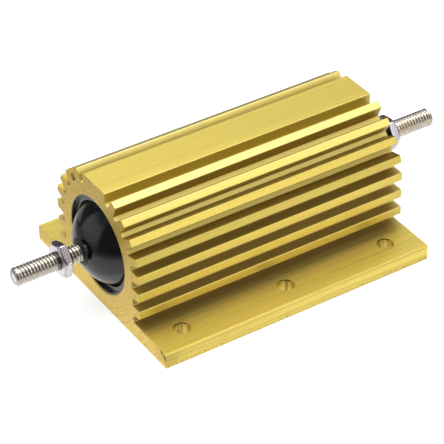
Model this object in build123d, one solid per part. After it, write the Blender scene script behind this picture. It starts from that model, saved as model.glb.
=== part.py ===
from build123d import *
import os
from math import asin, cos, sin, sqrt

# Aluminium extrusion
housing_length = 89.7
flange_width = 72.4
flange_thickness = 5.0
bore_radius = 15.05
floor_thickness = 5.15
wall_thickness = 3.85
pad_width = 12.0
pad_rise = 2.4
edge_radius = 0.25
root_radius = 0.45
bore_chamfer = 0.25

# Four fins on each shoulder, set around the bore
shoulder_fins = 4
first_fin_angle = 18.35
fin_step_angle = 14.6
fin_depth = 4.1
fin_root_thickness = 3.1
fin_tip_thickness = 2.4

# Three level fins on each side wall, flat on top and sloped beneath
side_fins = 3
first_side_fin_top = 10.87
side_fin_step = 6.07
side_fin_depth = 3.7
side_fin_root_thickness = 3.45
side_fin_tip_thickness = 2.62

# Fixing holes, three along each flange
hole_radius = 2.55
hole_columns = 3
hole_step = 35.0
hole_row_spacing = 57.2

# Resistance element: one layer of close-wound wire on a ceramic rod, between two pressed caps
element_setback = 11.85
core_radius = 9.0
cap_wall = 0.5
cap_end = 1.0
cap_depth = 8.0
wire_diameter = 0.3
wire_end_gap = 0.1
seat_clearance = 0.02

# Threaded terminal studs, plain at the crest of the thread, and at its pitch radius under the nut
stud_radius = 2.75
stud_pitch_radius = 2.43
stud_projection = 26.6
stud_end_chamfer = 0.45

# Thin hexagon nuts, part way along the studs
nut_across_flats = 9.7
nut_thickness = 2.65
left_nut_standoff = 10.3
right_nut_standoff = 9.8
nut_chamfer = 0.25
nut_clearance = 0.05
nut_end_gap = 0.2
left_nut_turn = 44.0
right_nut_turn = 55.0

# Moulded filling: a thin lip lines the bore at each end, around a ring, a groove and a dome
mould_clearance = 0.02
lip_setback = 0.3
lip_width = 0.35
lip_slope_width = 0.3
ring_width = 1.3
ring_setback = 1.3
dome_setback = 1.95
dome_rise = 8.0
collar_radius = 4.2
collar_slope_width = 0.7
collar_rise = 0.45

body_radius = bore_radius + wall_thickness
axis_height = bore_radius + floor_thickness
half_length = housing_length / 2
cap_face = half_length - element_setback
core_half = cap_face - cap_end
cap_radius = core_radius + cap_wall
cap_rim = core_half - cap_depth
mould_radius = bore_radius - mould_clearance
lip_radius = mould_radius - lip_width
ring_outer = lip_radius - lip_slope_width
ring_inner = ring_outer - ring_width
dome_radius = (ring_inner ** 2 + dome_rise ** 2) / (2 * dome_rise)
dome_base = half_length - dome_setback
dome_centre = dome_base + dome_rise - dome_radius
collar_base = dome_centre + sqrt(dome_radius ** 2 - collar_radius ** 2)
stud_end = half_length + stud_projection


def tapered_fin(inner, outer, root_thickness, tip_thickness):
    # level fin pointing along +X, tapered evenly about its middle
    return Polygon(
        (inner, -root_thickness / 2),
        (outer, -tip_thickness / 2),
        (outer, tip_thickness / 2),
        (inner, root_thickness / 2),
        align=None,
    )


def sloped_fin(top):
    # level fin with a flat top and a sloped underside
    inner = bore_radius
    outer = body_radius + side_fin_depth
    slope = (side_fin_root_thickness - side_fin_tip_thickness) / side_fin_depth
    root = side_fin_root_thickness + slope * wall_thickness
    return Polygon(
        (inner, top - root),
        (outer, top - side_fin_tip_thickness),
        (outer, top),
        (inner, top),
        align=None,
    )


def shoulder_fin(index):
    taper = (fin_root_thickness - fin_tip_thickness) / fin_depth
    inner_thickness = fin_root_thickness + taper * wall_thickness
    blade = tapered_fin(bore_radius, body_radius + fin_depth, inner_thickness, fin_tip_thickness)
    return Pos(0, axis_height) * Rot(0, 0, first_fin_angle + index * fin_step_angle) * blade


def solid_section():
    # outline of the extrusion across its length, before rounding and boring
    flange = Pos(0, flange_thickness / 2) * Rectangle(flange_width, flange_thickness)
    tube = Pos(0, axis_height) * Circle(body_radius)
    walls = Pos(0, axis_height / 2) * Rectangle(2 * body_radius, axis_height)
    pad_height = body_radius + pad_rise
    pad = Pos(0, axis_height + pad_height / 2) * Rectangle(pad_width, pad_height)
    right = [shoulder_fin(index) for index in range(shoulder_fins)]
    right += [sloped_fin(first_side_fin_top + index * side_fin_step) for index in range(side_fins)]
    left = [mirror(fin, about=Plane.YZ) for fin in right]
    return flange + tube + walls + pad + right + left


def from_axis(vertex):
    return sqrt(vertex.X ** 2 + (vertex.Y - axis_height) ** 2)


def is_root(vertex):
    # inner corners lie on the tube, its side walls or the top of the flange
    above = vertex.Y > axis_height
    on_tube = above and from_axis(vertex) < body_radius + edge_radius
    on_wall = not above and abs(abs(vertex.X) - body_radius) < edge_radius
    return on_tube or on_wall


def is_tip(vertex):
    # outer corners of the fins, the pad and the flange
    reach = body_radius + min(fin_depth, side_fin_depth, pad_rise) - edge_radius
    beyond = vertex.Y > axis_height and from_axis(vertex) > reach
    outside = abs(vertex.X) > reach
    return beyond or outside


def housing_section():
    outline = solid_section()
    outline = fillet([corner for corner in outline.vertices() if is_root(corner)], root_radius)
    outline = fillet([corner for corner in outline.vertices() if is_tip(corner)], edge_radius)
    return outline - Pos(0, axis_height) * Circle(bore_radius)


def is_bore_rim(edge):
    return abs(edge.radius - bore_radius) < bore_chamfer


def housing():
    body = extrude(Plane.YZ * housing_section(), amount=half_length, both=True)
    rims = body.edges().filter_by(GeomType.CIRCLE).filter_by(is_bore_rim)
    body = chamfer(rims, bore_chamfer)
    drill = Pos(0, 0, flange_thickness / 2) * Cylinder(hole_radius, 2 * flange_thickness)
    holes = [place * drill for place in GridLocations(hole_step, hole_row_spacing, hole_columns, 2)]
    return body - holes


def turned(profile):
    # solid of revolution about the bore, from a profile with X along the bore
    return Pos(0, 0, axis_height) * revolve(profile, Axis.X, 360)


def rod(radius, start, end):
    return turned(Polygon((start, 0), (end, 0), (end, radius), (start, radius), align=None))


def both_ends(piece):
    return [piece, mirror(piece, about=Plane.YZ)]


def mould_outline():
    # profile of one half above the axis, from the lip inwards to the collar round the stud
    lip_face = half_length - lip_setback
    ring_face = half_length - ring_setback
    middle = (asin(ring_inner / dome_radius) + asin(collar_radius / dome_radius)) / 2
    edge = Polyline(
        (0, 0),
        (0, mould_radius),
        (lip_face, mould_radius),
        (lip_face, lip_radius),
        (ring_face, ring_outer),
        (ring_face, ring_inner),
        (dome_base, ring_inner),
    )
    dome = ThreePointArc(
        (dome_base, ring_inner),
        (dome_centre + dome_radius * cos(middle), dome_radius * sin(middle)),
        (collar_base, collar_radius),
    )
    collar_face = collar_base + collar_rise
    collar_edge = collar_radius - collar_slope_width
    collar = Polyline((collar_base, collar_radius), (collar_face, collar_edge), (collar_face, 0), (0, 0))
    return make_face(edge + dome + collar)


def moulded_body():
    half = turned(mould_outline())
    body = half + mirror(half, about=Plane.YZ)
    body -= rod(cap_radius + seat_clearance, -cap_face, cap_face)
    return body - both_ends(rod(stud_radius + seat_clearance, cap_face, stud_end))


def ceramic_core():
    return rod(core_radius, -core_half, core_half)


def resistance_winding():
    # the turns lie side by side, so that the layer is as thick as the wire
    inner = core_radius + seat_clearance
    half_width = cap_rim - wire_end_gap
    return rod(inner + wire_diameter, -half_width, half_width) - rod(inner, -half_width, half_width)


def end_cap():
    # pressed cup over the end of the rod
    cup = rod(cap_radius, cap_rim, cap_face)
    return cup - rod(core_radius + seat_clearance, cap_rim, core_half)


def terminal_stud(standoff):
    # right stud, waisted where the nut's thread meshes with it
    nut_start = half_length + standoff - nut_end_gap
    nut_end = half_length + standoff + nut_thickness + nut_end_gap
    profile = Polygon(
        (cap_face, 0),
        (cap_face, stud_radius),
        (nut_start, stud_radius),
        (nut_start, stud_pitch_radius),
        (nut_end, stud_pitch_radius),
        (nut_end, stud_radius),
        (stud_end - stud_end_chamfer, stud_radius),
        (stud_end, stud_radius - stud_end_chamfer),
        (stud_end, 0),
        align=None,
    )
    return turned(profile)


def terminal_nut(standoff, turn):
    inner = half_length + standoff
    outer = inner + nut_thickness
    hexagon = RegularPolygon(nut_across_flats / 2, 6, major_radius=False, rotation=turn)
    plane = Plane((inner, 0, axis_height), x_dir=(0, 1, 0), z_dir=(1, 0, 0))
    nut = extrude(plane * hexagon, amount=nut_thickness)
    corner = nut_across_flats / sqrt(3)
    flat = nut_across_flats / 2 - nut_chamfer
    bevel = (corner - flat) / sqrt(3)
    blank = Polygon(
        (inner, 0),
        (inner, flat),
        (inner + bevel, corner),
        (outer - bevel, corner),
        (outer, flat),
        (outer, 0),
        align=None,
    )
    nut &= turned(blank)
    return nut - rod(stud_pitch_radius + nut_clearance, inner, outer)


def write(name, piece):
    export_step(piece, os.path.join("parts", name + ".step"))


os.makedirs("parts", exist_ok=True)
write("housing", housing())
write("moulded_body", moulded_body())
write("ceramic_core", ceramic_core())
write("resistance_winding", resistance_winding())
right_cap, left_cap = both_ends(end_cap())
write("right_end_cap", right_cap)
write("left_end_cap", left_cap)
write("right_terminal_stud", terminal_stud(right_nut_standoff))
write("left_terminal_stud", mirror(terminal_stud(left_nut_standoff), about=Plane.YZ))
write("right_terminal_nut", terminal_nut(right_nut_standoff, right_nut_turn))
write("left_terminal_nut", mirror(terminal_nut(left_nut_standoff, left_nut_turn), about=Plane.YZ))
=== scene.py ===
import math

import bmesh
import bpy
from mathutils import Matrix, Vector


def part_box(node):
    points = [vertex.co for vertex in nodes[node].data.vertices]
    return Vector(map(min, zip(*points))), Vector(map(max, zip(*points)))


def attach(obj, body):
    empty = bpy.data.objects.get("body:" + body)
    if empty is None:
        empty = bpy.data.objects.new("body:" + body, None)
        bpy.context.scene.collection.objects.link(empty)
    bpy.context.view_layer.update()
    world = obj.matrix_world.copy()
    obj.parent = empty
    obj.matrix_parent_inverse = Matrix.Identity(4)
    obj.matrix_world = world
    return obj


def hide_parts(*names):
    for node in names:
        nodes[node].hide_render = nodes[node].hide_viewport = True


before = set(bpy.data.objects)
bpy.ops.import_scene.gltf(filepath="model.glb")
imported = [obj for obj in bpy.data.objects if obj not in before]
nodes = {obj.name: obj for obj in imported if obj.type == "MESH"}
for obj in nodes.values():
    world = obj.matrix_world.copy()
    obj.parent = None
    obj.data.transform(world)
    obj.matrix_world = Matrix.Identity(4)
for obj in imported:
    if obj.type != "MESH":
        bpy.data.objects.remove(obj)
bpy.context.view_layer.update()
scene = bpy.context.scene
scene.view_settings.view_transform = "Standard"
mm = 0.001  # one millimetre in the scene's metres
boreHeight = 20.2  # mm, the bore's axis above the base
print("frame loaded:", len(nodes), "nodes")


def hexToLinear(code):
    # sRGB hex value, such as "D8C070", to linear colour with alpha
    channels = [int(code[i:i + 2], 16) / 255 for i in (0, 2, 4)]
    linear = [c / 12.92 if c <= 0.04045 else ((c + 0.055) / 1.055) ** 2.4 for c in channels]
    return (*linear, 1.0)


def addNode(tree, kind, inputs=None, **settings):
    # each input, by name or number, takes a value, a hex colour, an output of another node, or
    # the whole node, which then stands for the first output that it has in use
    node = tree.nodes.new("ShaderNode" + kind)
    for name, value in settings.items():
        setattr(node, name, value)
    for key, value in (inputs or {}).items():
        named = [socket for socket in node.inputs if socket.enabled and socket.name == key]
        socket = named[0] if named else node.inputs[key]
        if isinstance(value, bpy.types.Node):
            value = next(output for output in value.outputs if output.enabled)
        if isinstance(value, bpy.types.NodeSocket):
            tree.links.new(value, socket)
        else:
            socket.default_value = hexToLinear(value) if isinstance(value, str) else value
    return node


def span(low, high):
    # what a Map Range node turns to 0 and to 1
    return {"From Min": low, "From Max": high}


noiseSpan = span(0.3, 0.7)  # noise seldom goes beyond, so this is drawn out to the full range


def newMaterial(name):
    # material with an empty node tree
    material = bpy.data.materials.new(name)
    material.use_nodes = True
    material.node_tree.nodes.clear()
    return material, material.node_tree


def newFinish(name):
    # the same, with the place on its object in mm
    material, tree = newMaterial(name)
    place = addNode(tree, "VectorMath", {0: addNode(tree, "TexCoord").outputs["Object"], 1: [1 / mm] * 3},
                    operation="MULTIPLY")
    return material, tree, place


# Anodised aluminium: pale gold over an extruded skin, so it shows fine die lines along the
# length and a satin sheen; the sawn ends are duller, with tool marks round the bore; what is
# named Noise or Breaks gives the noise values from which a mark fades in to where it is full
housingFinish = {
    "light": "E8D46A",
    "dark": "CAB14E",
    "metallic": 0.9,
    "roughness": 0.42,
    "roughnessSpread": (-0.05, 0.06),  # with the die lines
    "filmWeight": 0.3,  # clear oxide film over the dyed layer
    "filmRoughness": 0.3,
    "dieLineSpacing": 0.4,  # mm across, drawn coarser than the real lines so that they show
    "dieLineLength": 160,  # mm along
    "dieLineDepth": 0.012,  # mm
    "bandSpacing": 3.2,  # mm, broad soft bands of the extrusion
    "bandLength": 140,  # mm
    "bandShare": 0.15,
    "grainSize": 0.5,  # mm, drawn coarser than the real etched grain
    "grainShare": 0.35,
    "cornerSoftness": 0.15,  # mm
    # painted shade in the recesses, by how much open space there is round a point
    "grooveShade": "B8A65C",  # between the upper fins
    "footShade": "B09E68",  # greyer, between the lower ones and beside the wall
    "grooveHeights": (18.0, 27.0),  # mm, between which one tone turns into the other
    "recessReach": 14.0,  # mm
    "recessOpenness": (0.3, 0.92),  # share of open space, from a full recess to plain skin
    # painted highlight: the tips of the upper fins, paler and whiter
    "tipHighlight": "EEE2A0",
    "tipHighlightHeights": (34.0, 50.0),  # mm
    "tipHighlightReach": (21.9, 22.8),  # mm from the bore's axis
    # painted shade: flanks of the shoulder fins, darkened and dulled
    "flankShade": "DDD1A6",
    "flankReach": (19.0, 22.9),  # mm from the bore's axis
    "flankFromMiddle": 9.95,  # mm, between the flanks of the highest fin, which is open to the pad
    "flankLean": (0.8, 0.95),  # from where the tint begins to where it is full
    # painted dark reflection: a thin line on the upper corner of each shoulder fin but the highest
    "darkReflectionLine": "33250C",
    "darkReflectionLineShare": 0.9,
    "edgeFromMiddle": 12.0,  # mm, beyond the highest fin
    "edgeReach": 22.35,  # mm from the bore's axis
    "edgeLean": ((0.2, 0.5), (0.985, 0.93)),  # where the line begins, and where it ends
    "wallTop": 25.0,  # mm up, between the highest level fin and the lowest on the shoulder
    # walls of the holes: painted shade, streaked with drill marks and painted highlights, and a painted
    # shadow under the top edge
    "holeHighlight": "E8D668",
    "holeShade": "A8904A",
    "holeRow": 28.6,  # mm, from the middle to each row
    "holeReach": 3.0,  # mm either side of a row, a little more than a hole
    "holeSlack": 0.1,  # mm above the flange's top
    "holeLean": 0.5,  # most that a wall may face up or down, where straight up is 1
    "flangeTop": 5.0,  # mm
    "drillMarkAndSheenSize": 1.25,  # mm round the hole
    "drillMarkAndSheenStretch": 0.3,  # as many down the hole as round it
    "drillMarkAndSheenNoise": (0.4, 0.6),
    "holeRimShadow": "33260E",  # painted shadow under the top edge
    "holeRimShadowDepth": 0.55,  # mm
    # outer sides of the flanges: drawn lines, and knocks along the bottom edge
    "sideLine": "86662A",
    "sideFromMiddle": 32.6,  # mm, beyond the holes
    "sideFacing": 0.8,  # least that it faces across, where straight across is 1
    "sideLineSpacing": 0.5,  # mm
    "sideLineLength": 90,  # mm
    "sideLineShare": 0.42,
    "sideLineNoise": (0.48, 0.62),
    "knockHeight": 1.3,  # mm, below which they show
    "knockNoise": (0.56, 0.62),
    # sawn and faced ends
    "endFacing": 0.9,  # least that one faces along, where straight along is 1
    "sawn": "EACC62",
    "stain": "7A5A1E",
    "sawnRoughness": 0.55,
    "toolMarkSpacing": 0.55,  # mm between rings round the bore
    "toolMarkShare": 0.6,  # darkness of the broken rings
    "toolMarkNoise": (0.56, 0.66),
    "toolMarkBreaks": (0.44, 0.56),
    "mottleSize": 0.7143,  # mm, drawn coarser than the real cut
    "patchShare": 0.25,
    "patchNoise": (0.4, 0.7),
    "pitSize": 0.625,  # mm
    "pitNoise": (0.68, 0.78),
    "scratch": "2C2212",
    "nickMiddle": (-35.3, 3.63),  # mm across and up
    "nickSlope": 30,  # degrees
    "nickLength": 5.2,  # mm
    "nickWidth": 0.5,  # mm
    "nickWander": 2.4,  # mm from side to side
}


def housingPlaces(tree, place):
    # where a point of the housing is, in mm, and which way its surface faces
    where = addNode(tree, "SeparateXYZ", {0: place})
    facing = addNode(tree, "SeparateXYZ", {0: addNode(tree, "TexCoord").outputs["Normal"]})
    aboveBore = addNode(tree, "Math", {0: where.outputs["Z"], 1: boreHeight}, operation="SUBTRACT")
    fromBore = addNode(tree, "CombineXYZ", {"X": where.outputs["Y"], "Y": aboveBore})
    at = {axis.lower(): where.outputs[axis] for axis in "XYZ"}
    at.update({"facing" + axis: facing.outputs[axis] for axis in "XYZ"})
    at["place"] = place
    at["aboveBore"] = aboveBore
    at["radius"] = addNode(tree, "VectorMath", {0: fromBore}, operation="LENGTH")
    at["fromMiddle"] = addNode(tree, "Math", {0: at["y"]}, operation="ABSOLUTE")
    return at


def housingNoises(tree, at):
    # the patterns that the skin and the ends are built from
    f = housingFinish
    alongSkin = {}
    for name in ("dieLine", "band"):
        along, across = 1 / f[name + "Length"], 1 / f[name + "Spacing"]
        alongSkin[name] = addNode(tree, "VectorMath", {0: at["place"], 1: (along, across, across)},
                                  operation="MULTIPLY")
    outFromBore = addNode(tree, "Math", {0: at["radius"], 1: 1 / f["toolMarkSpacing"]}, operation="MULTIPLY")
    patterns = {
        "lines": {"Vector": alongSkin["dieLine"], "Scale": 1.0, "Detail": 2.0, "Roughness": 0.6},
        "bands": {"Vector": alongSkin["band"], "Scale": 1.0, "Detail": 1.0},
        "grain": {"Vector": at["place"], "Scale": 1 / f["grainSize"], "Detail": 2.0, "Roughness": 0.7},
        "mottle": {"Vector": at["place"], "Scale": 1 / f["mottleSize"], "Detail": 4.0, "Roughness": 0.7},
        "pits": {"Vector": at["place"], "Scale": 1 / f["pitSize"], "Detail": 2.0, "Roughness": 0.7},
    }
    noise = {name: addNode(tree, "TexNoise", inputs) for name, inputs in patterns.items()}
    noise["rings"] = addNode(tree, "TexNoise", {"W": outFromBore, "Scale": 1.0, "Detail": 2.0},
                             noise_dimensions="1D")
    return noise


def dyedSkin(tree, noise):
    # gold that varies with the die lines, the broad bands and the grain
    f = housingFinish
    lines, bands, grain = (addNode(tree, "MapRange", {"Value": noise[name], **noiseSpan})
                           for name in ("lines", "bands", "grain"))
    drawn = addNode(tree, "Mix", {"Factor": f["bandShare"], "A": lines, "B": bands}, data_type="FLOAT")
    tint = addNode(tree, "Mix", {"Factor": f["grainShare"], "A": drawn, "B": grain}, data_type="FLOAT")
    return addNode(tree, "Mix", {"Factor": tint, "A": f["dark"], "B": f["light"]}, data_type="RGBA")


def shadeRecesses(tree, at, skin):
    f = housingFinish
    # painted shade: where ambient occlusion finds little open space, the skin turns to a shade tone
    around = addNode(tree, "AmbientOcclusion", {"Distance": f["recessReach"] * mm}, samples=8,
                     only_local=True)
    isOpen = addNode(tree, "MapRange", {"Value": around.outputs["AO"], **span(*f["recessOpenness"])})
    isUpper = addNode(tree, "MapRange", {"Value": at["z"], **span(*f["grooveHeights"])})
    tone = addNode(tree, "Mix", {"Factor": isUpper, "A": f["footShade"], "B": f["grooveShade"]},
                   data_type="RGBA")
    return addNode(tree, "Mix", {"Factor": isOpen, "A": tone, "B": skin}, data_type="RGBA")


def paintTipHighlights(tree, at, skin):
    f = housingFinish
    # painted highlight: the upper fins' tips are mixed towards a pale tone
    raised = addNode(tree, "MapRange", {"Value": at["z"], **span(*f["tipHighlightHeights"])})
    atTip = addNode(tree, "MapRange", {"Value": at["radius"], **span(*f["tipHighlightReach"])})
    tipHighlight = addNode(tree, "Math", {0: raised, 1: atTip}, operation="MULTIPLY")
    return addNode(tree, "Mix", {"Factor": tipHighlight, "A": skin, "B": f["tipHighlight"]}, data_type="RGBA")


def shadeShoulders(tree, at, skin):
    # lean: 1 where the surface faces up round the bore, and -1 where it faces down
    f = housingFinish
    side = addNode(tree, "Math", {0: at["y"]}, operation="SIGN")
    outward = addNode(tree, "Math", {0: at["aboveBore"], 1: side}, operation="MULTIPLY")
    inward = addNode(tree, "Math", {0: outward, 1: -1.0}, operation="MULTIPLY")
    upRound = addNode(tree, "CombineXYZ", {"X": inward, "Y": at["fromMiddle"]})
    upUnit = addNode(tree, "VectorMath", {0: upRound}, operation="NORMALIZE")
    facing = addNode(tree, "CombineXYZ", {"X": at["facingY"], "Y": at["facingZ"]})
    lean = addNode(tree, "VectorMath", {0: upUnit, 1: facing}, operation="DOT_PRODUCT")
    onShoulder = addNode(tree, "Math", {0: at["z"], 1: f["wallTop"]}, operation="GREATER_THAN")

    # flanks, with painted shade
    steepness = addNode(tree, "Math", {0: lean}, operation="ABSOLUTE")
    share = addNode(tree, "MapRange", {"Value": steepness, **span(*f["flankLean"])})
    root, tip = f["flankReach"]
    beyondRoot = addNode(tree, "Math", {0: at["radius"], 1: root}, operation="GREATER_THAN")
    belowTip = addNode(tree, "Math", {0: at["radius"], 1: tip}, operation="LESS_THAN")
    offPad = addNode(tree, "Math", {0: at["fromMiddle"], 1: f["flankFromMiddle"]}, operation="GREATER_THAN")
    for mask in (beyondRoot, belowTip, offPad, onShoulder):
        share = addNode(tree, "Math", {0: share, 1: mask}, operation="MULTIPLY")
    skin = addNode(tree, "Mix", {"Factor": share, "A": skin, "B": f["flankShade"]}, data_type="RGBA",
                   blend_type="MULTIPLY")

    # painted dark reflection: a line on the upper corners
    begins, ends = (addNode(tree, "MapRange", {"Value": lean, **span(*edge)}) for edge in f["edgeLean"])
    share = addNode(tree, "Math", {0: begins, 1: f["darkReflectionLineShare"]}, operation="MULTIPLY")
    atCorner = addNode(tree, "Math", {0: at["radius"], 1: f["edgeReach"]}, operation="GREATER_THAN")
    offHighest = addNode(tree, "Math", {0: at["fromMiddle"], 1: f["edgeFromMiddle"]},
                         operation="GREATER_THAN")
    for mask in (ends, atCorner, offHighest, onShoulder):
        share = addNode(tree, "Math", {0: share, 1: mask}, operation="MULTIPLY")
    return addNode(tree, "Mix", {"Factor": share, "A": skin, "B": f["darkReflectionLine"]}, data_type="RGBA")


def drillHoles(tree, at, skin):
    # walls of the holes: upright, below the flange's top and close to a row
    f = housingFinish
    upright = addNode(tree, "Math", {0: at["facingZ"], 1: 0.0, 2: f["holeLean"]}, operation="COMPARE")
    below = addNode(tree, "Math", {0: at["z"], 1: f["flangeTop"] + f["holeSlack"]}, operation="LESS_THAN")
    nearRow = addNode(tree, "Math", {0: at["fromMiddle"], 1: f["holeRow"], 2: f["holeReach"]},
                      operation="COMPARE")
    inFlange = addNode(tree, "Math", {0: nearRow, 1: below}, operation="MULTIPLY")
    isHole = addNode(tree, "Math", {0: inFlange, 1: upright}, operation="MULTIPLY")
    streaks = addNode(tree, "VectorMath", {0: at["place"], 1: (1.0, 1.0, f["drillMarkAndSheenStretch"])},
                      operation="MULTIPLY")
    marks = addNode(tree, "TexNoise", {"Vector": streaks, "Scale": 1 / f["drillMarkAndSheenSize"], "Detail": 2.0})
    share = addNode(tree, "MapRange", {"Value": marks, **span(*f["drillMarkAndSheenNoise"])})
    # painted shade on the walls, streaked with painted highlights and drill marks; a painted shadow under the
    # top edge
    wall = addNode(tree, "Mix", {"Factor": share, "A": f["holeShade"], "B": f["holeHighlight"]}, data_type="RGBA")
    rimSpan = span(f["flangeTop"] - f["holeRimShadowDepth"], f["flangeTop"] - 0.5 * f["holeRimShadowDepth"])
    rim = addNode(tree, "MapRange", {"Value": at["z"], **rimSpan})
    rimShadowed = addNode(tree, "Mix", {"Factor": rim, "A": wall, "B": f["holeRimShadow"]}, data_type="RGBA")
    return addNode(tree, "Mix", {"Factor": isHole, "A": skin, "B": rimShadowed}, data_type="RGBA")


def drawSides(tree, at, noise, skin):
    f = housingFinish
    sideways = addNode(tree, "Math", {0: at["facingY"]}, operation="ABSOLUTE")
    upright = addNode(tree, "Math", {0: sideways, 1: f["sideFacing"]}, operation="GREATER_THAN")
    farOut = addNode(tree, "Math", {0: at["fromMiddle"], 1: f["sideFromMiddle"]}, operation="GREATER_THAN")
    isSide = addNode(tree, "Math", {0: upright, 1: farOut}, operation="MULTIPLY")
    along, across = 1 / f["sideLineLength"], 1 / f["sideLineSpacing"]
    alongSide = addNode(tree, "VectorMath", {0: at["place"], 1: (along, 0, across)}, operation="MULTIPLY")
    drawn = addNode(tree, "TexNoise", {"Vector": alongSide, "Scale": 1.0, "Detail": 2.0})
    lines = addNode(tree, "MapRange", {"Value": drawn, **span(*f["sideLineNoise"]),
                                       "To Max": f["sideLineShare"]})
    knocked = addNode(tree, "MapRange", {"Value": noise["pits"], **span(*f["knockNoise"])})
    lowDown = addNode(tree, "MapRange", {"Value": at["z"], **span(f["knockHeight"], 0.5 * f["knockHeight"])})
    knocks = addNode(tree, "Math", {0: knocked, 1: lowDown}, operation="MULTIPLY")
    worked = addNode(tree, "Math", {0: lines, 1: knocks}, operation="MAXIMUM")
    share = addNode(tree, "Math", {0: worked, 1: isSide}, operation="MULTIPLY")
    return addNode(tree, "Mix", {"Factor": share, "A": skin, "B": f["sideLine"]}, data_type="RGBA")


def crookedNick(tree, at, noise):
    # share of one nick, running down from the top edge of the near flange on the near end
    f = housingFinish
    slope = math.radians(f["nickSlope"])
    across = addNode(tree, "CombineXYZ", {"X": at["y"], "Y": at["z"]})
    offset = addNode(tree, "VectorMath", {0: across, 1: (*f["nickMiddle"], 0)}, operation="SUBTRACT")
    lengthways = addNode(tree, "VectorMath", {0: offset, 1: (math.cos(slope), math.sin(slope), 0)},
                         operation="DOT_PRODUCT")
    sideways = addNode(tree, "VectorMath", {0: offset, 1: (-math.sin(slope), math.cos(slope), 0)},
                       operation="DOT_PRODUCT")
    wandering = addNode(tree, "Math", {0: noise["mottle"], 1: f["nickWander"], 2: sideways},
                        operation="MULTIPLY_ADD")
    centred = addNode(tree, "Math", {0: wandering, 1: f["nickWander"] / 2}, operation="SUBTRACT")
    fromLine = addNode(tree, "Math", {0: centred}, operation="ABSOLUTE")
    fromCentre = addNode(tree, "Math", {0: lengthways}, operation="ABSOLUTE")
    width, length = f["nickWidth"], f["nickLength"]
    thin = addNode(tree, "MapRange", {"Value": fromLine, **span(width, 0.4 * width)})
    short = addNode(tree, "MapRange", {"Value": fromCentre, **span(0.5 * length, 0.4 * length)})
    nearEnd = addNode(tree, "Math", {0: at["x"], 1: 0.0}, operation="LESS_THAN")
    nick = addNode(tree, "Math", {0: thin, 1: short}, operation="MULTIPLY")
    return addNode(tree, "Math", {0: nick, 1: nearEnd}, operation="MULTIPLY")


def sawnEnds(tree, at, noise):
    # broken rings left by the tool, pits, soft patches and the nick
    f = housingFinish
    rings = addNode(tree, "MapRange", {"Value": noise["rings"], **span(*f["toolMarkNoise"]),
                                       "To Max": f["toolMarkShare"]})
    broken = addNode(tree, "MapRange", {"Value": noise["mottle"], **span(*f["toolMarkBreaks"])})
    arcs = addNode(tree, "Math", {0: rings, 1: broken}, operation="MULTIPLY")
    pits = addNode(tree, "MapRange", {"Value": noise["pits"], **span(*f["pitNoise"])})
    patches = addNode(tree, "MapRange", {"Value": noise["mottle"], **span(*f["patchNoise"]),
                                         "To Max": f["patchShare"]})
    marks = addNode(tree, "Math", {0: pits, 1: arcs}, operation="MAXIMUM")
    stained = addNode(tree, "Math", {0: marks, 1: patches}, operation="MAXIMUM")
    cut = addNode(tree, "Mix", {"Factor": stained, "A": f["sawn"], "B": f["stain"]}, data_type="RGBA")
    nick = crookedNick(tree, at, noise)
    return addNode(tree, "Mix", {"Factor": nick, "A": cut, "B": f["scratch"]}, data_type="RGBA")


def anodisedAluminium():
    f = housingFinish
    material, tree, place = newFinish("anodisedAluminium")
    at = housingPlaces(tree, place)
    noise = housingNoises(tree, at)
    skin = dyedSkin(tree, noise)
    skin = shadeRecesses(tree, at, skin)
    skin = paintTipHighlights(tree, at, skin)
    skin = shadeShoulders(tree, at, skin)
    skin = drillHoles(tree, at, skin)
    skin = drawSides(tree, at, noise, skin)

    # the ends, where the surface faces along the length
    along = addNode(tree, "Math", {0: at["facingX"]}, operation="ABSOLUTE")
    isEnd = addNode(tree, "Math", {0: along, 1: f["endFacing"]}, operation="GREATER_THAN")
    ends = sawnEnds(tree, at, noise)
    colour = addNode(tree, "Mix", {"Factor": isEnd, "A": skin, "B": ends}, data_type="RGBA")
    smoother, rougher = (f["roughness"] + spread for spread in f["roughnessSpread"])
    satin = addNode(tree, "MapRange", {"Value": noise["lines"], **noiseSpan, "To Min": smoother,
                                       "To Max": rougher})
    gloss = addNode(tree, "Mix", {"Factor": isEnd, "A": satin, "B": f["sawnRoughness"]}, data_type="FLOAT")

    # relief
    endHeight = addNode(tree, "Math", {0: noise["rings"], 1: noise["pits"]}, operation="ADD")
    skinHeight = addNode(tree, "Mix", {"Factor": f["grainShare"], "A": noise["lines"], "B": noise["grain"]},
                         data_type="FLOAT")
    height = addNode(tree, "Mix", {"Factor": isEnd, "A": skinHeight, "B": endHeight}, data_type="FLOAT")
    soft = addNode(tree, "Bevel", {"Radius": f["cornerSoftness"] * mm}, samples=4)
    bump = addNode(tree, "Bump", {"Height": height, "Normal": soft, "Distance": f["dieLineDepth"] * mm})

    shader = addNode(tree, "BsdfPrincipled", {"Base Color": colour, "Metallic": f["metallic"],
                                              "Roughness": gloss, "Normal": bump,
                                              "Coat Weight": f["filmWeight"],
                                              "Coat Roughness": f["filmRoughness"]})
    addNode(tree, "OutputMaterial", {"Surface": shader})
    return material


# Moulded phenolic: black, smooth from a polished tool, so it shows clean soft reflections
# with only a trace of flow marks
mouldingFinish = {
    "colour": "0A0A0C",
    "dust": "1A1A1D",
    "dustNoise": (0.55, 0.75),
    "ior": 1.6,
    "roughness": 0.11,
    "roughnessSpread": (-0.03, 0.05),  # with the grit
    "gritSize": 1 / 3,  # mm
    "flowMarkSize": 3.0,  # mm
    "flowMarkDepth": 0.01,  # mm
    "collarReach": 4.25,  # mm from the bore's axis, the collars round the studs
    "collarRoughness": 0.5,  # they are duller
}


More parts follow.
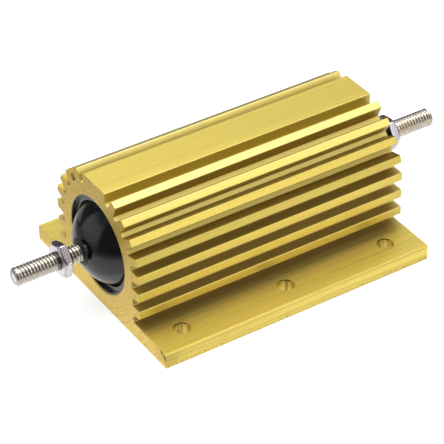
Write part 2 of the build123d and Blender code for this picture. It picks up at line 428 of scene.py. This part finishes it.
def mouldedPhenolic():
    f = mouldingFinish
    material, tree, place = newFinish("mouldedPhenolic")
    flow = addNode(tree, "TexNoise", {"Vector": place, "Scale": 1 / f["flowMarkSize"], "Detail": 2.0})
    grit = addNode(tree, "TexNoise", {"Vector": place, "Scale": 1 / f["gritSize"], "Detail": 3.0,
                                      "Roughness": 0.7})
    specks = addNode(tree, "MapRange", {"Value": grit, **span(*f["dustNoise"])})
    colour = addNode(tree, "Mix", {"Factor": specks, "A": f["colour"], "B": f["dust"]}, data_type="RGBA")
    smoother, rougher = (f["roughness"] + spread for spread in f["roughnessSpread"])
    gloss = addNode(tree, "MapRange", {"Value": grit, **noiseSpan, "To Min": smoother, "To Max": rougher})

    # the collars round the studs
    fromBore = addNode(tree, "VectorMath", {0: place, 1: (0, 0, boreHeight)}, operation="SUBTRACT")
    acrossBore = addNode(tree, "VectorMath", {0: fromBore, 1: (0, 1, 1)}, operation="MULTIPLY")
    radius = addNode(tree, "VectorMath", {0: acrossBore}, operation="LENGTH")
    isCollar = addNode(tree, "Math", {0: radius, 1: f["collarReach"]}, operation="LESS_THAN")
    gloss = addNode(tree, "Mix", {"Factor": isCollar, "A": gloss, "B": f["collarRoughness"]},
                    data_type="FLOAT")

    bump = addNode(tree, "Bump", {"Height": flow, "Distance": f["flowMarkDepth"] * mm})
    shader = addNode(tree, "BsdfPrincipled", {"Base Color": colour, "Roughness": gloss, "IOR": f["ior"],
                                              "Normal": bump})
    addNode(tree, "OutputMaterial", {"Surface": shader})
    return material


# Nickel-plated steel: bright and slightly warm on the studs, whiter on the nuts, with light
# handling marks; the faces cut square across the length are paler, and duller towards the housing,
# where the nuts' carry painted shade
studFinish = {
    "bright": "DFD8CD",
    "dull": "B2A798",
    "cut": "FCFBF8",
    "innerFace": "B2A798",  # cut faces towards the housing
    "roughness": 0.24,
    "roughnessSpread": (-0.04, 0.08),
    "wearNoise": (0.4, 0.75),
    "cutFacing": 0.97,  # least that a cut face faces along, where straight along is 1
    "cutRoughness": 0.2,
    "markSize": 0.8,  # mm
    "markDepth": 0.004,  # mm
    "threadShade": "2E2824",  # painted shade on the thread beside the nuts and the collars
    "threadShadeReach": 1.5,  # mm
    "threadShadeShare": 0.75,
}
nutFinish = {
    "bright": "DEDADE",
    "dull": "ACA6AF",
    "cut": "F4F3F4",
    "innerFace": "3A3634",  # painted shade, on the face towards the housing
    "roughness": 0.15,
    "roughnessSpread": (-0.04, 0.08),
    "wearNoise": (0.4, 0.75),
    "cutFacing": 0.97,
    "cutRoughness": 0.3,
    "markSize": 0.5,  # mm
    "markDepth": 0.005,  # mm
}


def addThreadShade(tree, clean, f):
    # painted shade: darkens the thread close to each nut and collar, by the distance from them along the stud
    where = addNode(tree, "SeparateXYZ", {0: addNode(tree, "TexCoord").outputs["Object"]})
    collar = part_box("moulded_body")[1].x - 0.7 * mm  # a little way down the collar's slope
    spans = [(-collar, collar)]
    spans += [(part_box(n)[0].x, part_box(n)[1].x) for n in ("left_terminal_nut", "right_terminal_nut")]
    nearest = 1.0  # metres, further than any point
    for low, high in spans:
        offset = addNode(tree, "Math", {0: where.outputs["X"], 1: (low + high) / 2}, operation="SUBTRACT")
        apart = addNode(tree, "Math", {0: offset}, operation="ABSOLUTE")
        beyond = addNode(tree, "Math", {0: apart, 1: (high - low) / 2}, operation="SUBTRACT")
        nearest = addNode(tree, "Math", {0: beyond, 1: nearest}, operation="MINIMUM")
    full, gone = (share * f["threadShadeReach"] * mm for share in (0.3, 1.0))
    shaded = addNode(tree, "MapRange", {"Value": nearest, **span(full, gone), "To Min": f["threadShadeShare"],
                                      "To Max": 0.0})
    return addNode(tree, "Mix", {"Factor": shaded, "A": clean, "B": f["threadShade"]}, data_type="RGBA")


def nickelPlatedSteel(name, f):
    material, tree, place = newFinish(name)
    marks = addNode(tree, "TexNoise", {"Vector": place, "Scale": 1 / f["markSize"], "Detail": 3.0,
                                       "Roughness": 0.6})
    worn = addNode(tree, "MapRange", {"Value": marks, **span(*f["wearNoise"])})
    plated = addNode(tree, "Mix", {"Factor": worn, "A": f["bright"], "B": f["dull"]}, data_type="RGBA")
    smoother, rougher = (f["roughness"] + spread for spread in f["roughnessSpread"])
    satin = addNode(tree, "MapRange", {"Value": marks, **noiseSpan, "To Min": smoother, "To Max": rougher})

    # faces cut across the length, and which of them look away from the housing
    where = addNode(tree, "SeparateXYZ", {0: place})
    facing = addNode(tree, "SeparateXYZ", {0: addNode(tree, "TexCoord").outputs["Normal"]})
    along = addNode(tree, "Math", {0: facing.outputs["X"]}, operation="ABSOLUTE")
    isCut = addNode(tree, "Math", {0: along, 1: f["cutFacing"]}, operation="GREATER_THAN")
    outward = addNode(tree, "Math", {0: where.outputs["X"], 1: facing.outputs["X"]}, operation="MULTIPLY")
    isOuter = addNode(tree, "Math", {0: outward, 1: 0.0}, operation="GREATER_THAN")
    # the inner face takes innerFace: dull plating on the studs, painted shade on the nuts
    face = addNode(tree, "Mix", {"Factor": isOuter, "A": f["innerFace"], "B": f["cut"]}, data_type="RGBA")
    colour = addNode(tree, "Mix", {"Factor": isCut, "A": plated, "B": face}, data_type="RGBA")
    gloss = addNode(tree, "Mix", {"Factor": isCut, "A": satin, "B": f["cutRoughness"]}, data_type="FLOAT")
    # painted shade on the studs' thread near the nuts and collars
    if "threadShade" in f:
        colour = addThreadShade(tree, colour, f)

    bump = addNode(tree, "Bump", {"Height": marks, "Distance": f["markDepth"] * mm})
    shader = addNode(tree, "BsdfPrincipled", {"Base Color": colour, "Metallic": 1.0, "Roughness": gloss,
                                              "Normal": bump})
    addNode(tree, "OutputMaterial", {"Surface": shader})
    return material


# Fired steatite: off-white, matt and very slightly granular
ceramicFinish = {
    "light": "E9E4D8",
    "dark": "D2CBBB",
    "roughness": 0.75,
    "grainSize": 0.4,  # mm
    "grainDepth": 0.01,  # mm
}


def firedSteatite():
    f = ceramicFinish
    material, tree, place = newFinish("firedSteatite")
    grain = addNode(tree, "TexNoise", {"Vector": place, "Scale": 1 / f["grainSize"], "Detail": 4.0})
    colour = addNode(tree, "Mix", {"Factor": grain, "A": f["dark"], "B": f["light"]}, data_type="RGBA")
    bump = addNode(tree, "Bump", {"Height": grain, "Distance": f["grainDepth"] * mm})
    shader = addNode(tree, "BsdfPrincipled", {"Base Color": colour, "Roughness": f["roughness"],
                                              "Normal": bump})
    addNode(tree, "OutputMaterial", {"Surface": shader})
    return material


# Close-wound resistance wire: dull nickel-chrome, its turns seen as fine ridges round the rod
wireFinish = {
    "ridge": "A79F94",
    "gap": "4A4540",
    "roughness": 0.4,
    "wireDiameter": 0.3,  # mm
    "ridgeDepth": 0.1,  # mm
    "ridgeWave": (-1.0, 0.2),  # part of the wave that rises, so the ridges are wider than the gaps
}


def woundResistanceWire():
    f = wireFinish
    material, tree, place = newFinish("woundResistanceWire")
    where = addNode(tree, "SeparateXYZ", {0: place})
    waves = 2 * math.pi / f["wireDiameter"]
    phase = addNode(tree, "Math", {0: where.outputs["X"], 1: waves}, operation="MULTIPLY")
    wave = addNode(tree, "Math", {0: phase}, operation="SINE")
    ridge = addNode(tree, "MapRange", {"Value": wave, **span(*f["ridgeWave"])})
    colour = addNode(tree, "Mix", {"Factor": ridge, "A": f["gap"], "B": f["ridge"]}, data_type="RGBA")
    bump = addNode(tree, "Bump", {"Height": ridge, "Distance": f["ridgeDepth"] * mm})
    shader = addNode(tree, "BsdfPrincipled", {"Base Color": colour, "Metallic": 1.0,
                                              "Roughness": f["roughness"], "Normal": bump})
    addNode(tree, "OutputMaterial", {"Surface": shader})
    return material


studPlating = nickelPlatedSteel("nickelPlatedStud", studFinish)
nutPlating = nickelPlatedSteel("nickelPlatedNut", nutFinish)
finishes = {
    "housing": anodisedAluminium(),
    "moulded_body": mouldedPhenolic(),
    "ceramic_core": firedSteatite(),
    "resistance_winding": woundResistanceWire(),
    "left_end_cap": studPlating,
    "right_end_cap": studPlating,
    "left_terminal_stud": studPlating,
    "right_terminal_stud": studPlating,
    "left_terminal_nut": nutPlating,
    "right_terminal_nut": nutPlating,
}
for name, material in finishes.items():
    slots = nodes[name].data.materials
    slots.clear()
    slots.append(material)
print("materials made")


def newPiece(name, mesh, material, node, smoothAngle):
    # turns a bmesh into a smooth piece that stands for a CAD node, sharp beyond an angle in degrees
    for face in mesh.faces:
        face.smooth = True
    data = bpy.data.meshes.new(name)
    mesh.to_mesh(data)
    mesh.free()
    data.set_sharp_from_angle(angle=math.radians(smoothAngle))
    piece = bpy.data.objects.new(name, data)
    scene.collection.objects.link(piece)
    data.materials.append(material)
    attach(piece, "root")
    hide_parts(node)


# Threaded terminal studs
studShape = {
    "pitch": 1.01,  # mm
    "threadDepth": 0.5,  # mm from crest to root
    "shankRadius": 2.35,  # mm, plain part inside the moulding
    "threadStart": 4.0,  # mm of thread hidden inside the collar
    "endChamfer": 0.45,  # mm
    "endLand": 0.25,  # mm left plain behind the chamfer
    "segments": 72,
    "smoothAngle": 50,  # degrees
}
# one turn of the thread, as shares of the pitch and of the depth from the root
threadProfile = ((0.0, 0.06), (0.1, 0.0), (0.2, 0.06), (0.5, 0.94), (0.56, 1.0), (0.64, 1.0), (0.7, 0.94))


def threadedStud(name, node, side):
    s = studShape
    low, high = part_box(node)
    crest = (high.y - low.y) / 2
    axisHeight = (high.z + low.z) / 2
    inner = min(abs(low.x), abs(high.x))
    outer = max(abs(low.x), abs(high.x))
    pitch = s["pitch"] * mm
    depth = s["threadDepth"] * mm
    shank = s["shankRadius"] * mm
    chamfer = s["endChamfer"] * mm
    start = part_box("moulded_body")[1].x - s["threadStart"] * mm
    landStart = outer - chamfer - s["endLand"] * mm
    turns = math.ceil((landStart - start) / pitch) + 1
    mesh = bmesh.new()
    columns = []
    for k in range(s["segments"] + 1):
        turn = k / s["segments"]
        angle = side * turn * 2 * math.pi
        rows = [(inner, shank), (start, shank)]
        for n in range(-1, turns):
            for share, height in threadProfile:
                x = min(max(start + (n + share + turn) * pitch, start), landStart)
                fade = min((landStart - x) / (0.5 * pitch), 1.0)  # the thread runs out over half a turn
                rows.append((x, crest - depth * (1 - height) * fade))
        rows += [(outer - chamfer, crest), (outer, crest - chamfer)]
        column = [mesh.verts.new((side * x, r * math.cos(angle), axisHeight + r * math.sin(angle)))
                  for x, r in rows]
        columns.append(column)
    for left, right in zip(columns, columns[1:]):
        for i in range(len(left) - 1):
            mesh.faces.new((left[i], right[i], right[i + 1], left[i + 1]))

    # join the seam and the rows that fell together, and close both ends
    bmesh.ops.remove_doubles(mesh, verts=mesh.verts, dist=0.002 * mm)
    bmesh.ops.dissolve_degenerate(mesh, edges=mesh.edges, dist=0.001 * mm)
    bmesh.ops.holes_fill(mesh, edges=[edge for edge in mesh.edges if edge.is_boundary])
    bmesh.ops.recalc_face_normals(mesh, faces=mesh.faces)
    newPiece(name, mesh, studPlating, node, s["smoothAngle"])


threadedStud("leftThreadedStud", "left_terminal_stud", -1)
threadedStud("rightThreadedStud", "right_terminal_stud", 1)
print("studs threaded")


# Thin hexagon nuts, chamfered on both faces, countersunk at the thread and softly rounded at the
# corners; a chamfer is given by mm in from the flats, degrees from the face, and mm of rounding
# between it and the flat
nutShape = {
    "acrossFlats": 9.7,  # mm
    "innerChamfer": (0.2, 30, 0.3),
    "outerChamfer": (0.3, 30, 0.6),
    "boreRadius": 2.45,  # mm
    "countersink": 0.45,  # mm
    "cornerRadius": 0.45,  # mm
    "leftTurn": 44,  # degrees, angle of one corner
    "rightTurn": 55,  # degrees
    "flatSteps": 12,
    "cornerSteps": 6,
    "edgeSteps": 6,
    "smoothAngle": 20,  # degrees
}


def hexagonReaches():
    # angle and radius once round the hexagon, closely spaced on the rounded corners
    s = nutShape
    flat = s["acrossFlats"] / 2
    rounding = s["cornerRadius"]
    middle = (flat - rounding) / math.cos(math.pi / 6)  # axis to the centre of a corner's arc
    tangent = math.atan((flat - rounding) * math.tan(math.pi / 6) / flat)
    arc = math.pi / 6 - tangent
    points = []
    for side in range(6):
        corner = side * math.pi / 3
        for k in range(s["cornerSteps"] + 1):
            offset = arc * (2 * k / s["cornerSteps"] - 1)
            across = middle * math.sin(offset)
            reach = middle * math.cos(offset) + math.sqrt(max(rounding ** 2 - across ** 2, 0))
            points.append((corner + offset, reach))
        for k in range(s["flatSteps"] + 1):
            fromFlat = 0.98 * tangent * (2 * k / s["flatSteps"] - 1)  # just short of the corners' arcs
            points.append((corner + math.pi / 6 + fromFlat, flat / math.cos(fromFlat)))
    return points


def nutEdge(reach, chamfer, slope, rounding):
    # depth from the face and radius, from the thread, over the face and the chamfer, to the flat
    s = nutShape
    faceRadius = (s["acrossFlats"] / 2 - chamfer) * mm
    bore = s["boreRadius"] * mm
    sink = s["countersink"] * mm
    edge = rounding * mm
    steep = math.radians(90 - slope)
    centre = (reach - faceRadius) * math.tan(math.radians(slope)) + edge * math.tan(steep / 2)
    turns = [steep * (1 - k / s["edgeSteps"]) for k in range(s["edgeSteps"] + 1)]
    rounded = [(centre - edge * math.sin(t), reach - edge + edge * math.cos(t)) for t in turns]
    return [(sink, bore), (0, bore + sink), (0, faceRadius)] + rounded


def hexagonNut(name, node, turn, side):
    s = nutShape
    low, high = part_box(node)
    inner = min(abs(low.x), abs(high.x))
    thickness = high.x - low.x
    axisHeight = (low.z + high.z) / 2
    mesh = bmesh.new()
    columns = []
    for angle, radius in hexagonReaches():
        rows = nutEdge(radius * mm, *s["innerChamfer"])
        rows += [(thickness - x, r) for x, r in reversed(nutEdge(radius * mm, *s["outerChamfer"]))]
        way = angle + math.radians(turn)
        column = [mesh.verts.new((side * (inner + x), r * math.cos(way), axisHeight + r * math.sin(way)))
                  for x, r in rows]
        columns.append(column)
    for left, right in zip(columns, columns[1:] + columns[:1]):
        for i in range(len(left)):
            j = (i + 1) % len(left)
            mesh.faces.new((left[i], right[i], right[j], left[j]))
    bmesh.ops.recalc_face_normals(mesh, faces=mesh.faces)
    newPiece(name, mesh, nutPlating, node, s["smoothAngle"])


hexagonNut("leftHexagonNut", "left_terminal_nut", nutShape["leftTurn"], -1)
hexagonNut("rightHexagonNut", "right_terminal_nut", nutShape["rightTurn"], 1)
print("nuts made")


# Studio: white world and floor, three soft lamps, and curved cards for the metal and moulding to mirror
studio = {
    "worldStrength": 0.6,  # on the object; where it is seen or mirrored, it is 1
    "floorSize": 6.0,  # metres
    "floorColours": ("F0F0EE", "F4F4F2"),
    "floorPatches": 40,  # faint patches across the floor
    "floorGlow": 0.7,  # its own light where it is seen or mirrored, so that it comes out white
    "floorShade": 0.42,  # and its colour there, a grey that still takes the object's shadow
    "lampTarget": (0, 0, 0.02),  # metres
}
# watts, size and place of each lamp, in metres
lamps = {
    "overheadBox": (7.4, (0.9, 0.6), (-0.1, 0.1, 0.9)),
    "frontBox": (3.0, (1.0, 0.7), (0.45, -0.85, 0.75)),
    "cornerBox": (0.75, (0.35, 0.35), (0.42, -0.32, 0.85)),
}
# the cards stand out of the picture; lengths are metres, outline gives the wall's height at angles
# from +X in degrees, a flap lies on the floor from its own distance out to the wall, and the tones
# are listed by distance on the floor and by height on the wall; windows light parts of a card that
# has a flap, each by its middle in degrees from +X, the degrees either side within which it is full
# and beyond which it is gone, and its tones
cards = {
    "backCard": {
        "distance": 0.45,
        "foot": 0.001,
        "flap": 0.055,
        "outline": ((-35, 0.2), (10, 0.29), (80, 0.29), (100, 0.25), (114, 0.27), (132, 0.7), (195, 0.7),
                    (212, 0.8), (262, 0.8)),
        "floorTones": ((0.06, "F8F8F6"), (0.09, "F0F0F0"), (0.103, "D0D0D0"), (0.115, "A6A6A8"),
                       (0.13, "929294"), (0.15, "737375"), (0.22, "4F4F51")),
        "wallTones": ((0.0, "4F4F51"),),
        "windows": (
            {"middle": 157, "fullWithin": 20, "goneBeyond": 30, "floorTone": "96969A",
             "wallTones": ((0.0, "BCBCC0"), (0.16, "E4E4E8"), (0.3, "D2D2D6"), (0.42, "84848A"))},
            {"middle": 102, "fullWithin": 12, "goneBeyond": 24, "floorTone": "CACACE",
             "wallTones": ((0.0, "8C8C90"), (0.03, "4F4F51"))},
        ),
    },
    "frontCard": {
        "distance": 1.0,
        "foot": 0.001,
        "flap": 0.3,
        "outline": ((255, 0.12), (325, 0.12)),
        "floorTones": ((0.3, "F4F4F2"), (0.65, "8C8C90")),
        "wallTones": ((0.0, "8C8C90"), (0.12, "B4B4B8")),
    },
    "hangingCard": {
        "distance": 0.75,
        "foot": 0.66,
        "outline": ((255, 1.0), (322, 1.0)),
        "wallTones": ((0.0, "A29498"),),
    },
    "lowCard": {
        "distance": 0.75,
        "foot": 0.29,
        "outline": ((300, 0.44), (315, 0.44)),
        "wallTones": ((0.0, "E6E4EA"),),
    },
}
cardSteps = 48  # along each card's curve
cardFoot = 0.03  # metres up, above which the wall's tones have taken over from the flap's


def seenOrReflected(tree):
    # 1 for rays that the camera sees directly, by reflection or through glass
    path = addNode(tree, "LightPath")
    rays = [path.outputs[kind + " Ray"] for kind in ("Is Camera", "Is Glossy", "Is Transmission")]
    either = addNode(tree, "Math", {0: rays[0], 1: rays[1]}, operation="MAXIMUM")
    return addNode(tree, "Math", {0: either, 1: rays[2]}, operation="MAXIMUM")


def softWorld():
    world = bpy.data.worlds.new("studioWorld")
    world.use_nodes = True
    scene.world = world
    tree = world.node_tree
    tree.nodes.clear()
    strength = addNode(tree, "Mix", {"Factor": seenOrReflected(tree), "A": studio["worldStrength"], "B": 1.0},
                       data_type="FLOAT")
    background = addNode(tree, "Background", {"Color": "FFFFFF", "Strength": strength})
    addNode(tree, "OutputWorld", {"Surface": background})


def paleFloor():
    size = studio["floorSize"] / 2
    data = bpy.data.meshes.new("floor")
    corners = [(-size, -size, 0), (size, -size, 0), (size, size, 0), (-size, size, 0)]
    data.from_pydata(corners, [], [(0, 1, 2, 3)])
    floor = bpy.data.objects.new("floor", data)
    scene.collection.objects.link(floor)
    material, tree = newMaterial("paintedBoard")
    darker, lighter = studio["floorColours"]
    shade = studio["floorShade"]
    patches = addNode(tree, "TexNoise", {"Scale": studio["floorPatches"], "Detail": 2.0})
    tone = addNode(tree, "Mix", {"Factor": patches, "A": darker, "B": lighter}, data_type="RGBA")
    board = addNode(tree, "BsdfDiffuse", {"Color": tone})
    glow = addNode(tree, "Emission", {"Color": "FFFFFF", "Strength": studio["floorGlow"]})
    dimBoard = addNode(tree, "BsdfDiffuse", {"Color": (shade, shade, shade, 1)})
    lit = addNode(tree, "AddShader", {0: dimBoard, 1: glow})
    mixed = addNode(tree, "MixShader", {0: seenOrReflected(tree), 1: board, 2: lit})
    addNode(tree, "OutputMaterial", {"Surface": mixed})
    data.materials.append(material)


def softLamp(name, power, size, location):
    light = bpy.data.lights.new(name, "AREA")
    light.shape = "RECTANGLE"
    light.size, light.size_y = size
    light.energy = power
    lamp = bpy.data.objects.new(name, light)
    lamp.location = location
    aim = Vector(studio["lampTarget"]) - Vector(location)
    lamp.rotation_euler = aim.to_track_quat("-Z", "Y").to_euler()
    scene.collection.objects.link(lamp)


def cardGlow(name, card):
    material, tree = newMaterial(name)
    place = addNode(tree, "TexCoord").outputs["Object"]
    height = addNode(tree, "SeparateXYZ", {0: place}).outputs["Z"]
    windows = card.get("windows", ())

    # tones up the wall, up each window and along the flap, spread over one metre
    sources = [(height, card["wallTones"])] + [(height, window["wallTones"]) for window in windows]
    if "flap" in card:
        away = addNode(tree, "VectorMath", {0: place, 1: (1, 1, 0)}, operation="MULTIPLY")
        reach = addNode(tree, "VectorMath", {0: away}, operation="LENGTH")
        sources.append((reach, card["floorTones"]))
    ramps = []
    for value, tones in sources:
        ramp = addNode(tree, "ValToRGB", {"Fac": value})
        stops = ramp.color_ramp.elements
        while len(stops) > 1:
            stops.remove(stops[-1])
        for k, (position, code) in enumerate(tones):
            stop = stops[0] if k == 0 else stops.new(position)
            stop.position = position
            stop.color = hexToLinear(code)
        ramps.append(ramp)

    # share of each window, by the angle from its middle
    wallTone, windowTones, floorTone = ramps[0], ramps[1:], ramps[-1]
    for window, windowTone in zip(windows, windowTones):
        middle, gone, full = (math.radians(window[key]) for key in ("middle", "goneBeyond", "fullWithin"))
        heading = addNode(tree, "VectorMath", {0: away}, operation="NORMALIZE")
        turn = addNode(tree, "VectorMath", {0: heading, 1: (math.cos(middle), math.sin(middle), 0)},
                       operation="DOT_PRODUCT")
        lit = addNode(tree, "MapRange", {"Value": turn, **span(math.cos(gone), math.cos(full))},
                      interpolation_type="SMOOTHSTEP")
        floorTone = addNode(tree, "Mix", {"Factor": lit, "A": floorTone, "B": window["floorTone"]},
                            data_type="RGBA", blend_type="LIGHTEN")
        wallTone = addNode(tree, "Mix", {"Factor": lit, "A": wallTone, "B": windowTone}, data_type="RGBA")
    tone = wallTone
    if "flap" in card:
        isWall = addNode(tree, "MapRange", {"Value": height, **span(0.0, cardFoot)})
        tone = addNode(tree, "Mix", {"Factor": isWall, "A": floorTone, "B": wallTone}, data_type="RGBA")
    glow = addNode(tree, "Emission", {"Color": tone, "Strength": 1.0})
    addNode(tree, "OutputMaterial", {"Surface": glow})
    return material


def cardHeight(outline, angle):
    for (start, low), (end, high) in zip(outline, outline[1:]):
        if angle <= end:
            return low + (high - low) * (angle - start) / (end - start)
    return outline[-1][1]


def curvedCard(name, card):
    first, last = card["outline"][0][0], card["outline"][-1][0]
    points = []
    for k in range(cardSteps + 1):
        angle = first + (last - first) * k / cardSteps
        stations = [(card["distance"], card["foot"]), (card["distance"], cardHeight(card["outline"], angle))]
        if "flap" in card:
            stations.insert(0, (card["flap"], card["foot"]))
        way = math.radians(angle)
        points += [(reach * math.cos(way), reach * math.sin(way), height) for reach, height in stations]
    n = len(stations)
    faces = []
    for k in range(cardSteps):
        for i in range(n * k, n * k + n - 1):
            faces.append((i, i + n, i + n + 1, i + 1))
    data = bpy.data.meshes.new(name)
    data.from_pydata(points, [], faces)
    piece = bpy.data.objects.new(name, data)
    scene.collection.objects.link(piece)
    data.materials.append(cardGlow(name + "Glow", card))
    piece.visible_camera = False
    piece.visible_diffuse = False
    piece.visible_shadow = False


softWorld()
paleFloor()
for name, card in cards.items():
    curvedCard(name, card)
for name, lamp in lamps.items():
    softLamp(name, *lamp)
print("studio lit")


# Camera, solved from the corners, holes and stud ends in the photograph
cameraView = {
    "azimuth": -31.979,  # degrees
    "elevation": 36.460,  # degrees
    "roll": 1.174,  # degrees
    "distance": 0.620,  # metres
    "target": (-0.01461, -0.01828, 0.02705),  # metres
    "focalPixels": 2213.2,  # in a picture of the next width
    "pictureWidth": 444,  # pixels
    "sensorWidth": 36.0,  # mm
}


def makeCamera():
    v = cameraView
    azimuth, elevation, roll = (math.radians(v[key]) for key in ("azimuth", "elevation", "roll"))
    level = math.cos(elevation)
    back = Vector((math.sin(azimuth) * level, -math.cos(azimuth) * level, math.sin(elevation)))
    sideways = Vector((math.cos(azimuth), math.sin(azimuth), 0))
    upright = back.cross(sideways)
    right = math.cos(roll) * sideways - math.sin(roll) * upright
    up = math.sin(roll) * sideways + math.cos(roll) * upright
    data = bpy.data.cameras.new("camera")
    data.sensor_width = v["sensorWidth"]
    data.lens = v["focalPixels"] / v["pictureWidth"] * data.sensor_width
    data.clip_start, data.clip_end = 0.01, 20  # metres
    camera = bpy.data.objects.new("camera", data)
    turned = Matrix((right, up, back)).transposed().to_4x4()
    camera.matrix_world = Matrix.Translation(Vector(v["target"]) + back * v["distance"]) @ turned
    scene.collection.objects.link(camera)
    scene.camera = camera


makeCamera()
print("camera placed")
